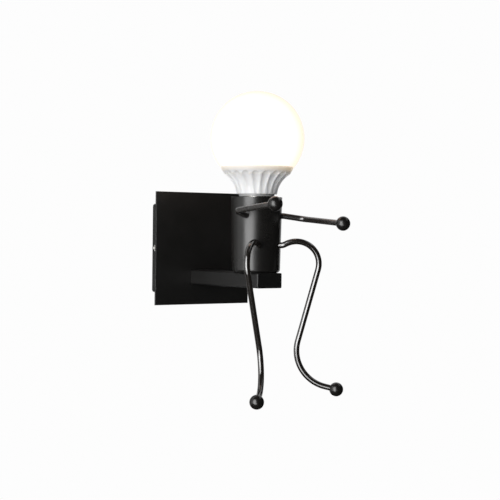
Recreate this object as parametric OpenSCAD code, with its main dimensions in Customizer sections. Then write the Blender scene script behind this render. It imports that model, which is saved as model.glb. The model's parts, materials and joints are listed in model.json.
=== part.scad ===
// Wall light in the shape of a seated stick figure: plate, bar, lamp cup, globe bulb and four bent limbs.
// The wall is the plane Y = 0, the lamp points to -Y, +X is right seen from the front and +Z is up.
// The origin is the centre of the wall bracket on the wall.

/* [Wall plate and box] */
// Side of the square front plate
plate_side = 100; // [92:1:130]
// Thickness of the front plate
plate_t = 1.5; // [1:0.1:3]
// Side of the square box behind the plate
box_side = 79; // [74:1:88]
// Depth of the box from the wall to the plate
box_depth = 21; // [20:0.5:30]
// Sheet thickness of the box
box_wall = 1.2; // [0.8:0.1:2]
// Radius of the box corners
box_corner_r = 2.5; // [1.5:0.1:5]

/* [Wall bracket] */
// Height of the bracket strip
bracket_h = 18; // [14:1:24]
// Thickness of the bracket
bracket_t = 1.5; // [1:0.1:2.5]
// Depth of the two ears that take the side screws
ear_depth = 12; // [10:0.5:16]
// Distance between the two wall slots
slot_spacing = 50; // [40:1:56]
// Length of a wall slot
slot_len = 12; // [6:0.5:14]
// Width of a wall slot
slot_w = 4.5; // [3.5:0.1:6]

/* [Screws] */
// Thread diameter of the side and earth screws
screw_d = 4; // [3:0.5:5]
// Head diameter of these screws
screw_head_d = 7; // [6:0.5:9]
// Head height of these screws
screw_head_h = 2.4; // [1.5:0.1:3.5]
// Distance of the side screws from the wall
side_screw_y = 6.5; // [5.5:0.1:8]

/* [Bar] */
// Width of the rectangular tube
bar_w = 25.4; // [22:0.2:32]
// Height of the rectangular tube
bar_h = 12.7; // [12:0.1:18]
// Wall of the tube
bar_wall = 1.5; // [1:0.1:2]
// Corner radius of the tube
bar_corner_r = 1.6; // [1:0.1:3]
// Length of the bar from the plate to its end
bar_len = 100; // [90:1:140]
// Distance of the bar's centre line below the plate's centre
bar_drop = 25.5; // [20:0.5:32]
// Distance from the plate to the cup's axis
cup_reach = 80; // [60:1:82]
// Length of the threaded block in the root of the bar
anchor_len = 14; // [10:1:20]
// Thread diameter of the two screws that hold the bar
bar_screw_d = 3; // [2.5:0.1:4]
// Head diameter of the bar screws
bar_screw_head_d = 5.5; // [4.5:0.1:6.5]
// Head height of the bar screws
bar_screw_head_h = 2; // [1.5:0.1:3]
// Distance between the two bar screws
bar_screw_spacing = 16; // [15:0.5:18]
// Thickness of the end cap's flange
end_cap_t = 1.5; // [1:0.1:3]
// Depth of the end cap's plug
end_cap_plug = 5; // [3:0.5:7]

/* [Cup] */
// Outer diameter at the rim
cup_top_d = 43.5; // [42.5:0.5:50]
// Outer diameter at the bottom
cup_bottom_d = 41; // [40.5:0.5:48]
// Height of the cup
cup_h = 64; // [57:0.5:72]
// Wall of the cup
cup_wall = 1.2; // [0.8:0.1:1.4]
// Thickness of the cup's floor
cup_floor = 1.5; // [1:0.1:2.5]
// Rounding of the bottom edge
cup_edge_r = 3; // [1:0.5:5]

/* [Nipple] */
// Thread diameter of the hollow nipple
nipple_d = 10; // [9:0.5:11]
// Bore of the nipple
nipple_bore = 7.5; // [7:0.1:8]
// Width of the nipple nuts across the flats
nut_af = 14; // [13:0.5:16]
// Height of a nipple nut
nut_h = 3.5; // [2.5:0.1:3.6]
// Thickness of the washer in the cup
washer_t = 1; // [0.5:0.1:1.5]

/* [Lamp holder] */
// Outer diameter of the holder's wiring part
holder_d = 31; // [29:0.1:34]
// Height of the wiring part
holder_cap_h = 16; // [14:0.5:22]
// Thickness of the holder's partition
holder_partition = 6; // [4:0.5:7]
// Wall of the wiring part
holder_wall = 2; // [1.5:0.1:3]
// Floor of the wiring part
holder_floor = 4; // [3:0.5:5]
// Outer diameter of the screw shell
shell_d = 28.8; // [26:0.1:32]
// Wall of the screw shell outside its thread
shell_wall = 0.95; // [0.6:0.05:1.5]
// Wall of the holder round the screw shell
holder_rim = 1.05; // [0.8:0.05:2]
// Height of the holder's contact button
contact_button_h = 2.2; // [1.5:0.1:4]
// Distance of the two terminal screws from the axis
terminal_r = 9; // [8:0.5:10]
// Thread diameter of the terminal screws
terminal_d = 3; // [2.5:0.1:3.5]

/* [Bulb] */
// Diameter of the globe
globe_d = 80; // [76:1:96]
// Thickness of the globe
globe_wall = 1.2; // [0.8:0.1:2]
// Diameter of the fluted base where the globe sits
base_top_d = 63; // [58:1:66]
// Diameter of the base's neck
neck_d = 34.6; // [33:0.1:38]
// Height of the fluted base
base_h = 23.5; // [20:0.5:26]
// Height of the smooth band at the base's top
band_h = 6.5; // [4:0.5:7]
// Diameter of the band's lower edge
band_bottom_d = 56; // [52:0.5:57]
// Number of flutes round the base
flute_count = 20; // [14:1:22]
// Radius of a flute's hollow
flute_r = 6.5; // [5:0.1:7]
// Depth of a flute under the band
flute_depth = 1.2; // [0.6:0.1:1.6]
// Wall of the base under the flutes
base_wall = 1.8; // [1.2:0.1:2.5]
// Diameter of the collar under the neck
collar_d = 30.2; // [28:0.1:33]
// Height of the collar
collar_h = 2; // [1:0.1:3]
// Depth of the thread
thread_depth = 1.05; // [0.9:0.05:1.1]
// Rise of the thread in one turn
thread_pitch = 3.62; // [3.5:0.02:3.8]
// Length of the threaded cap
cap_len = 22; // [20:0.5:23]
// Height of the insulator under the cap
insulator_h = 3; // [2:0.1:4]
// Height of the bulb's contact
contact_h = 1.2; // [0.8:0.1:1.5]

/* [Limbs] */
// Diameter of the bent rods
rod_d = 5; // [4.4:0.1:6]
// Diameter of the balls at the hands and feet
ball_d = 12; // [9:0.5:16]
// Diameter of the pins that turn in the cup's wall
pin_d = 4; // [3:0.1:4.2]
// Height of the arm pins above the cup's bottom
arm_height = 48.3; // [44:0.1:52]
// Angle of the arm pins from straight ahead
arm_azimuth = 60; // [52:1:75]
// Length of an arm from its root to its elbow
arm_stub = 12.5; // [8:0.5:18]
// Bend radius of the elbow
elbow_r = 8; // [5:0.5:12]
// Turn of the elbow
elbow_turn = 60; // [45:1:75]
// Length of the straight forearm up to the ball's centre
forearm = 47.5; // [30:0.5:60]
// Height of the leg pins above the cup's bottom
leg_height = 23.4; // [20:0.1:26]
// Angle of the leg pins from straight ahead
leg_azimuth = 31.5; // [24:0.5:40]
// Bend of a leg just outside the cup
hip_rise = 34; // [10:1:45]
// Lean of that bend outwards from straight up
hip_lean = 43.5; // [0:0.5:60]
// Bend radius of the knee
knee_r = 19.3; // [14:0.1:24]
// Turn of the knee
knee_turn = 132; // [120:0.5:145]
// Length of the straight shin
shin = 63.8; // [45:0.1:80]
// Bend radius of the ankle
ankle_r = 31.4; // [20:0.1:40]
// Turn of the ankle
ankle_turn = 92.5; // [70:0.5:105]
// Roll of the ankle's bend about the shin
ankle_roll = 10; // [0:0.5:20]
// Length of the straight end up to the foot ball's centre
foot_run = 10; // [7.5:0.1:20]

/* [Stored pose] */
// Rise of the left arm at its root
left_arm_rise = 11.5; // [-20:0.5:20]
// Rise of the right arm at its root
right_arm_rise = -8; // [-20:0.5:20]
// Swing of the left leg towards the front
left_leg_swing = 2.9; // [-12:0.1:12]
// Swing of the right leg towards the front
right_leg_swing = -9.1; // [-12:0.1:12]

/* [Clearances] */
// Gap round a pin or a screw in its hole
pin_gap = 0.05; // [0.02:0.01:0.1]
// Gap between fitted pieces
fit_gap = 0.1; // [0.05:0.05:0.3]
// Gap between the two threads
thread_gap = 0.35; // [0.3:0.05:0.45]
// Gap between the bulb's collar and the cup's rim
rim_gap = 0.6; // [0.4:0.1:1.5]
// Gap between the two electric contacts
contact_gap = 0.2; // [0.1:0.05:0.4]

/* [Wiring] */
// Diameter of an insulated wire
wire_d = 2.2; // [1.6:0.1:2.4]
// Width of the terminal block
block_w = 30; // [27:1:36]
// Height of the terminal block
block_h = 16; // [12:1:18]
// Depth of the terminal block
block_t = 12; // [9:0.5:14]
// Height of the terminal block's centre above the plate's centre
block_rise = 20; // [19:0.5:24]
// Distance between the block's ways
way_pitch = 9; // [8:0.5:11]
// Bore of the grommet between the box and the bar
grommet_bore = 5.2; // [5:0.1:5.4]

/* [Hidden] */
$fn = 96;

// Colours
black_coat = [0.07, 0.07, 0.07];
bright_steel = [0.75, 0.75, 0.74];
zinc = [0.62, 0.63, 0.65];
brass = [0.78, 0.62, 0.3];
white_plastic = [0.93, 0.93, 0.91];
globe_white = [1, 0.98, 0.94];
ceramic = [0.9, 0.89, 0.86];
rubber_black = [0.1, 0.1, 0.1];

// Places along Y and Z that several pieces share
box_front_y = -box_depth;
plate_front_y = -box_depth - plate_t;
cup_y = plate_front_y - cup_reach;
bar_end_y = plate_front_y - bar_len;
cup_z = bar_h / 2 - bar_drop;
rim_z = cup_z + cup_h;
box_inside_y = box_front_y + box_wall;
bar_inner_w = bar_w - 2 * bar_wall;
bar_inner_h = bar_h - 2 * bar_wall;

// Heights of the lamp holder and the bulb
washer_z = cup_z + cup_floor;
top_nut_z = washer_z + washer_t;
collar_z = rim_z + rim_gap;
neck_z = collar_z + collar_h;
base_top_z = neck_z + base_h;
cap_z = collar_z - cap_len;
contact_z = cap_z - insulator_h - contact_h;
shell_z = contact_z - contact_gap - contact_button_h;
holder_body_z = shell_z - holder_partition;
holder_z = holder_body_z - holder_cap_h;
globe_r = globe_d / 2;
globe_overhang = 0.6;
globe_seat_r = base_top_d / 2 + globe_overhang;
globe_z = base_top_z + sqrt(pow(globe_r, 2) - pow(globe_seat_r, 2));

// The flare of the bulb's base is one arc: it leaves the neck with a small lean and ends under the band.
// Its centre is given from the axis and from the neck
flare_lean = 6;
band_lip = 0.15;
flare_h = base_h - band_h;
flare_top_r = band_bottom_d / 2 - band_lip;
flare_end = 2 * atan((flare_top_r - neck_d / 2) / flare_h) - flare_lean;
flare_r = flare_h / (sin(flare_end) - sin(flare_lean));
flare_x = neck_d / 2 + flare_r * cos(flare_lean);
flare_z = -flare_r * sin(flare_lean);

// A flute is a round channel along a second arc, whose centre stands a little higher than the flare's
flute_neck_depth = 0.3;
flute_start = 16;
flute_overrun = 25;
flute_lift = (flute_depth - flute_neck_depth) / (sin(flare_end) - sin(flare_lean));
flute_path_r = flare_r - flute_r + flute_neck_depth - flute_lift * sin(flare_lean);

// Pins, washers and clips of the limbs
shoulder_gap = 0.1;
clip_washer_d = 8;
clip_washer_t = 0.6;
clip_d = 7;
clip_t = 0.6;
pin_tail = 0.4;
root_run = 1.5;
root_bend_r = 6;
ball_seat = 4;

// Cutters reach this far past the faces they cut
cut = 1;

// Radius of the cup's outside at a height above its bottom
function cup_r(z) = cup_bottom_d / 2 + (cup_top_d - cup_bottom_d) / 2 * z / cup_h;

// A washer rests on two edges of the round wall, so its middle stands off by the depth of that arc
function washer_x(z) =
    let (inner = cup_r(z - clip_washer_d / 2) - cup_wall)
    sqrt(pow(inner, 2) - pow(clip_washer_d / 2, 2)) - fit_gap;

// Unit vector along v
function unit(v) = v / norm(v);

// Points of a quarter arc about centre, from angle a0 to a1 in steps
function arc(centre, r, a0, a1, steps) =
    [for (i = [0:steps]) centre + r * [cos(a0 + (a1 - a0) * i / steps), sin(a0 + (a1 - a0) * i / steps)]];

// Outline of a rectangle with rounded corners, centred on the origin
module rounded_rect(w, h, r) {
    square([w - 2 * r, h], center = true);
    square([w, h - 2 * r], center = true);
    for (sx = [-1, 1], sy = [-1, 1])
        translate([sx * (w / 2 - r), sy * (h / 2 - r)]) circle(r);
}

// Stands a shape drawn in XY up so that it runs from y0 towards -Y
module along_bar(y0, length) {
    translate([0, y0, 0]) rotate([90, 0, 0]) linear_extrude(length) children();
}

// A cylinder along -Y from a point
module rod_y(x, y0, z, d, length) {
    translate([x, y0, z]) rotate([90, 0, 0]) cylinder(d = d, h = length);
}

// A solid or hollow round piece about the cup's axis
module round_piece(z, h, d, bore = 0) {
    translate([0, cup_y, z]) difference() {
        cylinder(d = d, h = h);
        if (bore > 0) translate([0, 0, -cut]) cylinder(d = bore, h = h + 2 * cut);
    }
}

// A hexagon nut about the cup's axis. The bar's end cap keeps clear of its corners
nut_corner_r = nut_af / 2 / cos(30);
nut_gap = 0.3;
module hex_nut(z) {
    translate([0, cup_y, z]) difference() {
        cylinder(r = nut_corner_r, h = nut_h, $fn = 6);
        translate([0, 0, -cut]) cylinder(d = nipple_d + 2 * pin_gap, h = nut_h + 2 * cut);
    }
}

// A pan-head screw: its head starts at the origin and rises along +Z, its shank runs along -Z
module pan_screw(d, head_d, head_h, length) {
    dome_r = (pow(head_d / 2, 2) + pow(head_h, 2)) / (2 * head_h);
    slot_t = head_d / 7;
    difference() {
        union() {
            intersection() {
                cylinder(d = head_d, h = head_h);
                translate([0, 0, head_h - dome_r]) sphere(dome_r);
            }
            translate([0, 0, -length]) cylinder(d = d, h = length + head_h / 4);
        }
        for (turn = [0, 90]) rotate([0, 0, turn])
            translate([-head_d * 0.3, -slot_t / 2, head_h * 0.55]) cube([head_d * 0.6, slot_t, head_h]);
    }
}

// A rod bent step by step: each step is [straight run, roll of the bend plane, bend radius, bend angle].
// The rod starts along +X, and a positive angle bends it towards +Y before any roll.
// Straight runs are a hair thinner than the bends and reach a little way into them.
rod_lap = 0.3;
rod_step = 0.02;
module bent_rod(d, steps, i = 0) {
    if (i < len(steps)) {
        run = steps[i][0];
        r = steps[i][2];
        turn = steps[i][3];
        side = turn < 0 ? -1 : 1;
        lap_before = i > 0 ? rod_lap : 0;
        lap_after = turn != 0 ? rod_lap : 0;
        translate([-lap_before, 0, 0]) rotate([0, 90, 0])
            cylinder(d = d - 2 * rod_step, h = lap_before + run + lap_after);
        translate([run, 0, 0]) rotate([steps[i][1], 0, 0]) {
            if (turn != 0) {
                translate([0, side * r, 0]) rotate([0, 0, turn > 0 ? -90 : 90 + turn])
                    rotate_extrude(angle = abs(turn)) translate([r, 0]) circle(d = d);
            }
            translate([r * sin(abs(turn)), side * r * (1 - cos(turn)), 0]) rotate([0, 0, turn])
                bent_rod(d, steps, i + 1);
        }
    }
}

// Places children where a bent rod of these steps ends
module at_rod_end(steps, i = 0) {
    if (i < len(steps)) {
        r = steps[i][2];
        turn = steps[i][3];
        side = turn < 0 ? -1 : 1;
        translate([steps[i][0], 0, 0]) rotate([steps[i][1], 0, 0])
            translate([r * sin(abs(turn)), side * r * (1 - cos(turn)), 0]) rotate([0, 0, turn])
                at_rod_end(steps, i + 1) children();
    } else {
        children();
    }
}

// A limb's frame: X points out of the cup along the pin. Side is -1 for left and 1 for right
module limb_frame(side, azimuth, height) {
    translate([0, cup_y, cup_z + height]) rotate([0, 0, -90 + side * azimuth]) children();
}

// Steps of the limbs. A roll of a quarter turn lays the elbow's bend towards the front
function arm_steps(side, rise) = [
    [root_run, 0, root_bend_r, rise],
    [arm_stub, side * 90, elbow_r, elbow_turn],
    [forearm, 0, 0, 0]
];

// A leg rises outwards from its root, and its knee then bends straight down
hip_run = 1;
hip_back = atan2(sin(hip_lean), cos(hip_rise) * cos(hip_lean));
function leg_steps(side) = [
    [root_run, -side * hip_lean, root_bend_r, hip_rise],
    [hip_run, side * hip_back, knee_r, -knee_turn],
    [shin, side * ankle_roll, ankle_r, ankle_turn],
    [foot_run, 0, 0, 0]
];

// The rod's last step ends inside the ball, at the bottom of the ball's hole
function trimmed(steps) =
    [for (i = [0:len(steps) - 1])
        i < len(steps) - 1 ? steps[i] : [steps[i][0] - ball_d / 2 + ball_seat, steps[i][1], 0, 0]];

// A limb's rod with the pin that turns in the cup's wall
module limb_rod(side, azimuth, height, swing, steps) {
    outer_x = cup_r(height) + shoulder_gap;
    pin_x = washer_x(height) - clip_washer_t - pin_gap - clip_t - pin_tail;
    color(black_coat) limb_frame(side, azimuth, height) rotate([-side * swing, 0, 0]) {
        translate([pin_x, 0, 0]) rotate([0, 90, 0]) cylinder(d = pin_d, h = outer_x + root_run / 2 - pin_x);
        translate([outer_x, 0, 0]) rotate([90, 0, 0]) bent_rod(rod_d, trimmed(steps));
    }
}

// The ball at a limb's end, bored for the rod
module limb_ball(side, azimuth, height, swing, steps) {
    color(black_coat) limb_frame(side, azimuth, height) rotate([-side * swing, 0, 0])
        translate([cup_r(height) + shoulder_gap, 0, 0]) rotate([90, 0, 0])
            at_rod_end(steps) difference() {
                sphere(d = ball_d);
                translate([-ball_d, 0, 0]) rotate([0, 90, 0])
                    cylinder(d = rod_d + 2 * pin_gap, h = ball_d / 2 + ball_seat);
            }
}

// The washer and the push-on clip that hold a limb's pin inside the cup
module limb_clip(side, azimuth, height, swing) {
    x = washer_x(height);
    color(zinc) limb_frame(side, azimuth, height) rotate([-side * swing, 0, 0]) rotate([0, 90, 0]) {
        translate([0, 0, x - clip_washer_t]) difference() {
            cylinder(d = clip_washer_d, h = clip_washer_t);
            translate([0, 0, -cut]) cylinder(d = pin_d + 2 * pin_gap, h = clip_washer_t + 2 * cut);
        }
        translate([0, 0, x - clip_washer_t - pin_gap - clip_t]) difference() {
            cylinder(d = clip_d, h = clip_t);
            translate([0, 0, -cut]) cylinder(d = pin_d + 2 * pin_gap, h = clip_t + 2 * cut);
            for (notch = [0:3]) rotate([0, 0, 90 * notch])
                translate([pin_d / 2, -clip_t / 2, -cut]) cube([clip_d / 6, clip_t, clip_t + 2 * cut]);
        }
    }
}

// A threaded wall as a grid of points: each ring lies at its height, and the thread swells and sinks round it
thread_sides = 30;
thread_rings = 6;
thread_fade = 0.6;
thread_fade_len = thread_fade * thread_pitch;
thread_bore_r = shell_d / 2 - shell_wall;
thread_d = 2 * (thread_bore_r - thread_gap);
thread_core_r = thread_d / 2 - thread_depth;
function thread_swell(z, z0, z1) = max(0, min(1, (z - z0) / thread_fade_len, (z1 - z) / thread_fade_len));
function thread_wave(z, a) = cos(360 * (z - cap_z) / thread_pitch - a);

// The cap's thread rises from its core, and the shell's thread is pressed in from its bore
function cap_thread_r(z, a, swell) = thread_core_r + thread_depth * swell * (1 + thread_wave(z, a)) / 2;
function shell_thread_r(z, a, swell) = thread_bore_r - thread_depth * swell * (1 - thread_wave(z, a)) / 2;
function ring_angle(k) = 360 * k / thread_sides;
function ring_point(r, a, z) = [r * cos(a), r * sin(a), z];
function cap_ring(z, z0, z1) =
    [for (k = [0:thread_sides - 1]) let (a = ring_angle(k))
        ring_point(cap_thread_r(z, a, thread_swell(z, z0, z1)), a, z)];
function shell_ring(z, z0, z1) =
    [for (k = [0:thread_sides - 1]) let (a = ring_angle(k))
        ring_point(shell_thread_r(z, a, thread_swell(z, z0, z1)), a, z)];
function plain_ring(r, z) = [for (k = [0:thread_sides - 1]) ring_point(r, ring_angle(k), z)];
function thread_levels(from, to) =
    let (n = ceil(abs(to - from) / thread_pitch * thread_rings)) [for (i = [0:n]) from + (to - from) * i / n];

// Joins rings of equal length into a closed skin, with a flat fan at each end or as a closed loop of rings
module skin(rings, loop = false) {
    sides = len(rings[0]);
    count = len(rings);
    last = loop ? count - 1 : count - 2;
    points = [for (ring = rings) each ring];
    walls = [for (i = [0:last], k = [0:sides - 1])
        let (a = i * sides + k, b = i * sides + (k + 1) % sides,
             c = ((i + 1) % count) * sides + (k + 1) % sides, e = ((i + 1) % count) * sides + k)
        each [[a, b, c], [a, c, e]]];
    first_lid = [for (k = [0:sides - 1]) sides - 1 - k];
    last_lid = [for (k = [0:sides - 1]) (count - 1) * sides + k];
    lids = loop ? [] : [first_lid, last_lid];
    polyhedron(points, [for (f = concat(walls, lids)) [for (k = [len(f) - 1:-1:0]) f[k]]], convexity = 12);
}

// A smooth route through hand-set corners: each corner is replaced by a short curve
corner_steps = 4;
function route(corners, bend) =
    [for (i = [0:len(corners) - 1])
        each (i == 0 || i == len(corners) - 1) ? [corners[i]] :
            let (p = corners[i],
                 d0 = min(bend, norm(corners[i - 1] - p) / 2), d1 = min(bend, norm(corners[i + 1] - p) / 2),
                 a = p + d0 * unit(corners[i - 1] - p), b = p + d1 * unit(corners[i + 1] - p))
            [for (s = [0:corner_steps]) let (t = s / corner_steps)
                pow(1 - t, 2) * a + 2 * t * (1 - t) * p + pow(t, 2) * b]];
function tangent(path, i) =
    unit(i == 0 ? path[1] - path[0] : i == len(path) - 1 ? path[i] - path[i - 1] : path[i + 1] - path[i - 1]);
function side_vectors(path, i, n) =
    let (t = tangent(path, i), m = unit(n - (n * t) * t))
    i == len(path) - 1 ? [m] : concat([m], side_vectors(path, i + 1, m));

// A round wire along a route
wire_sides = 8;
module wire(corners, bend) {
    path = route(corners, bend);
    t0 = tangent(path, 0);
    normals = side_vectors(path, 0, abs(t0[0]) < 0.9 ? [1, 0, 0] : [0, 1, 0]);
    skin([for (i = [0:len(path) - 1]) let (t = tangent(path, i), n = normals[i], b = cross(t, n))
        [for (k = [0:wire_sides - 1]) let (a = 360 * k / wire_sides)
            path[i] + wire_d / 2 * (cos(a) * n + sin(a) * b)]]);
}

// Wall fixing
ear_x = box_side / 2 - box_wall - fit_gap;
module wall_bracket() {
    color(zinc) difference() {
        union() {
            translate([-ear_x, -bracket_t, -bracket_h / 2]) cube([2 * ear_x, bracket_t, bracket_h]);
            for (side = [-1, 1])
                translate([side * (ear_x - bracket_t / 2) - bracket_t / 2, -ear_depth, -bracket_h / 2])
                    cube([bracket_t, ear_depth, bracket_h]);
        }
        for (side = [-1, 1]) {
            for (end = [-1, 1])
                rod_y(side * slot_spacing / 2 + end * (slot_len - slot_w) / 2, cut, 0,
                    slot_w, bracket_t + 2 * cut);
            translate([side * slot_spacing / 2 - (slot_len - slot_w) / 2, -bracket_t - cut, -slot_w / 2])
                cube([slot_len - slot_w, bracket_t + 2 * cut, slot_w]);
            translate([side * ear_x, -side_screw_y, 0]) rotate([0, 90, 0])
                cylinder(d = screw_d + 2 * pin_gap, h = 4 * bracket_t, center = true);
        }
        rod_y(0, cut, 0, screw_d + 2 * pin_gap, bracket_t + 2 * cut);
    }
}

module back_box() {
    color(black_coat) difference() {
        along_bar(0, box_depth) rounded_rect(box_side, box_side, box_corner_r);
        along_bar(cut, box_depth - box_wall + cut)
            rounded_rect(box_side - 2 * box_wall, box_side - 2 * box_wall, box_corner_r - box_wall);
        for (side = [-1, 1])
            translate([side * box_side / 2, -side_screw_y, 0]) rotate([0, 90, 0])
                cylinder(d = screw_d + 2 * fit_gap, h = 4 * box_wall, center = true);
        bar_holes(box_inside_y + cut, box_wall + 2 * cut);
    }
}

// The holes for the two bar screws and for the grommet, through box and plate
grommet_wall = 1;
grommet_flange_w = 0.7;
grommet_d = grommet_bore + 2 * grommet_wall;
module bar_holes(y0, length) {
    for (side = [-1, 1])
        rod_y(side * bar_screw_spacing / 2, y0, -bar_drop, bar_screw_d + 2 * fit_gap, length);
    rod_y(0, y0, -bar_drop, grommet_d + 2 * fit_gap, length);
}

module front_plate() {
    color(black_coat) difference() {
        translate([-plate_side / 2, plate_front_y, -plate_side / 2]) cube([plate_side, plate_t, plate_side]);
        bar_holes(box_front_y + cut, plate_t + 2 * cut);
    }
}

side_screw_tail = 1;
module side_screws() {
    color(bright_steel) for (side = [-1, 1])
        translate([side * box_side / 2, -side_screw_y, 0]) rotate([0, side * 90, 0])
            pan_screw(screw_d, screw_head_d, screw_head_h, box_wall + fit_gap + bracket_t + side_screw_tail);
}

module earth_screw() {
    color(brass) translate([0, -bracket_t, 0]) rotate([90, 0, 0])
        pan_screw(screw_d, screw_head_d, screw_head_h, bracket_t);
}

grommet_flange_t = 1;
module cable_grommet() {
    color(rubber_black) difference() {
        union() {
            rod_y(0, box_inside_y + grommet_flange_t, -bar_drop,
                grommet_d + 2 * grommet_flange_w, grommet_flange_t);
            rod_y(0, box_inside_y, -bar_drop, grommet_d, box_wall + plate_t);
        }
        rod_y(0, box_inside_y + grommet_flange_t + cut, -bar_drop,
            grommet_bore, grommet_flange_t + box_wall + plate_t + 2 * cut);
    }
}

// Bar
module support_bar() {
    tube_len = bar_len - end_cap_t;
    color(black_coat) difference() {
        translate([0, 0, -bar_drop]) difference() {
            along_bar(plate_front_y, tube_len) rounded_rect(bar_w, bar_h, bar_corner_r);
            translate([-bar_inner_w / 2, plate_front_y - tube_len - cut, -bar_inner_h / 2])
                cube([bar_inner_w, tube_len + 2 * cut, bar_inner_h]);
        }
        translate([0, cup_y, cup_z - bar_wall - cut])
            cylinder(d = nipple_d + 2 * fit_gap, h = bar_wall + 2 * cut);
    }
}

module bar_anchor() {
    w = bar_inner_w - 2 * fit_gap;
    h = bar_inner_h - 2 * fit_gap;
    color(zinc) difference() {
        translate([-w / 2, plate_front_y - anchor_len, -bar_drop - h / 2]) cube([w, anchor_len, h]);
        for (side = [-1, 1])
            rod_y(side * bar_screw_spacing / 2, plate_front_y + cut, -bar_drop,
                bar_screw_d + 2 * pin_gap, anchor_len + 2 * cut);
        rod_y(0, plate_front_y + cut, -bar_drop, grommet_bore, anchor_len + 2 * cut);
    }
}

bar_screw_short = 2;
module bar_screws() {
    color(zinc) for (side = [-1, 1])
        translate([side * bar_screw_spacing / 2, box_inside_y, -bar_drop]) rotate([-90, 0, 0])
            pan_screw(bar_screw_d, bar_screw_head_d, bar_screw_head_h,
                box_wall + plate_t + anchor_len - bar_screw_short);
}

end_cap_round = 0.7;
module bar_end_cap() {
    w = bar_inner_w - 2 * fit_gap;
    h = bar_inner_h - 2 * fit_gap;
    y0 = bar_end_y + end_cap_t;
    color(black_coat) {
        intersection() {
            translate([0, 0, -bar_drop]) along_bar(y0, end_cap_t) rounded_rect(bar_w, bar_h, bar_corner_r);
            translate([0, bar_end_y + bar_w / 2, -bar_drop - bar_h]) linear_extrude(2 * bar_h)
                rounded_rect(bar_w, bar_w, end_cap_round);
        }
        difference() {
            translate([-w / 2, y0 - end_cap_t / 2, -bar_drop - h / 2])
                cube([w, end_cap_plug + end_cap_t / 2, h]);
            translate([0, cup_y, -bar_drop - bar_h / 2]) cylinder(r = nut_corner_r + nut_gap, h = bar_h);
        }
    }
}

// Cup
module lamp_cup() {
    edge_steps = 8;
    hole_r = nipple_d / 2 + fit_gap;
    edge = arc([cup_r(cup_edge_r) - cup_edge_r, cup_edge_r], cup_edge_r, -90, 0, edge_steps);
    profile = concat(
        [[hole_r, 0]], edge,
        [[cup_r(cup_h), cup_h], [cup_r(cup_h) - cup_wall, cup_h],
         [cup_r(cup_edge_r) - cup_wall, cup_edge_r], [cup_r(cup_edge_r) - cup_edge_r, cup_floor],
         [hole_r, cup_floor]]
    );
    color(black_coat) difference() {
        translate([0, cup_y, cup_z]) rotate_extrude() polygon(profile);
        for (side = [-1, 1]) {
            limb_frame(side, arm_azimuth, arm_height) wall_bore();
            limb_frame(side, leg_azimuth, leg_height) wall_bore();
        }
    }
}

// A bore for a limb's pin, through one wall of the cup
module wall_bore() {
    translate([cup_bottom_d / 4, 0, 0]) rotate([0, 90, 0])
        cylinder(d = pin_d + 2 * pin_gap, h = cup_top_d / 2);
}

nipple_tail = 0.5;
module cup_nipple() {
    z0 = cup_z - bar_wall - nut_h - nipple_tail;
    color(zinc) round_piece(z0, holder_z + holder_floor - z0, nipple_d, nipple_bore);
}

module nipple_nuts() {
    color(zinc) {
        hex_nut(cup_z - bar_wall - nut_h);
        hex_nut(top_nut_z);
    }
}

cup_washer_d = 20;
module cup_washer() {
    color(zinc) round_piece(washer_z, washer_t, cup_washer_d, nipple_d + 2 * pin_gap);
}

// Lamp holder
module holder_cap() {
    color(ceramic) translate([0, cup_y, holder_z]) difference() {
        cylinder(d = holder_d, h = holder_cap_h);
        translate([0, 0, holder_floor]) cylinder(d = holder_d - 2 * holder_wall, h = holder_cap_h);
        translate([0, 0, -cut]) cylinder(d = nipple_d + 2 * pin_gap, h = holder_floor + 2 * cut);
    }
}

holder_lip = 1.5;
module holder_body() {
    top = rim_z - holder_lip;
    color(ceramic) translate([0, cup_y, 0]) difference() {
        translate([0, 0, holder_body_z])
            cylinder(d = shell_d + 2 * (pin_gap + holder_rim), h = top - holder_body_z);
        translate([0, 0, shell_z]) cylinder(d = shell_d + 2 * pin_gap, h = top);
        for (side = [-1, 1])
            translate([side * terminal_r, 0, holder_body_z - cut])
                cylinder(d = terminal_d + 2 * pin_gap, h = holder_partition + 2 * cut);
    }
}

shell_lip = 1.5;
module screw_shell() {
    top = rim_z - holder_lip - shell_lip;
    rings = concat(
        [plain_ring(shell_d / 2, top)],
        [for (z = thread_levels(top, shell_z)) shell_ring(z, shell_z, top)],
        [plain_ring(shell_d / 2, shell_z)]
    );
    color(brass) translate([0, cup_y, 0]) skin(rings, loop = true);
}

contact_button_d = 5;
contact_base_d = 14;
contact_base_t = 0.8;
module centre_contact() {
    color(brass) {
        round_piece(shell_z, contact_base_t, contact_base_d);
        round_piece(shell_z, contact_button_h, contact_button_d);
    }
}

terminal_head_d = 5.5;
terminal_head_h = 2;
module holder_terminals() {
    color(brass) for (side = [-1, 1])
        translate([side * terminal_r, cup_y, holder_body_z]) rotate([180, 0, 0])
            pan_screw(terminal_d, terminal_head_d, terminal_head_h, holder_partition);
}

// Bulb
module bulb_globe() {
    color(globe_white) translate([0, cup_y, globe_z]) difference() {
        sphere(globe_r, $fn = 128);
        sphere(globe_r - globe_wall, $fn = 128);
        translate([0, 0, -globe_r - (globe_z - base_top_z)])
            cylinder(r = globe_r, h = globe_r);
    }
}

// Half outline of the flare, drawn in by an inset. It reaches up into the band
module flare_half(max_r, height, inset) {
    difference() {
        square([max_r, height]);
        translate([flare_x, flare_z]) circle(flare_r + inset);
    }
}

// One flute, in the plane of X and Z
module flute() {
    translate([flare_x, 0, flare_z + flute_lift]) rotate([90, 0, 0])
        rotate([0, 0, 180 - flare_end - flute_overrun])
            rotate_extrude(angle = flare_end + flute_overrun) translate([flute_path_r, 0]) circle(flute_r);
}

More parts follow.
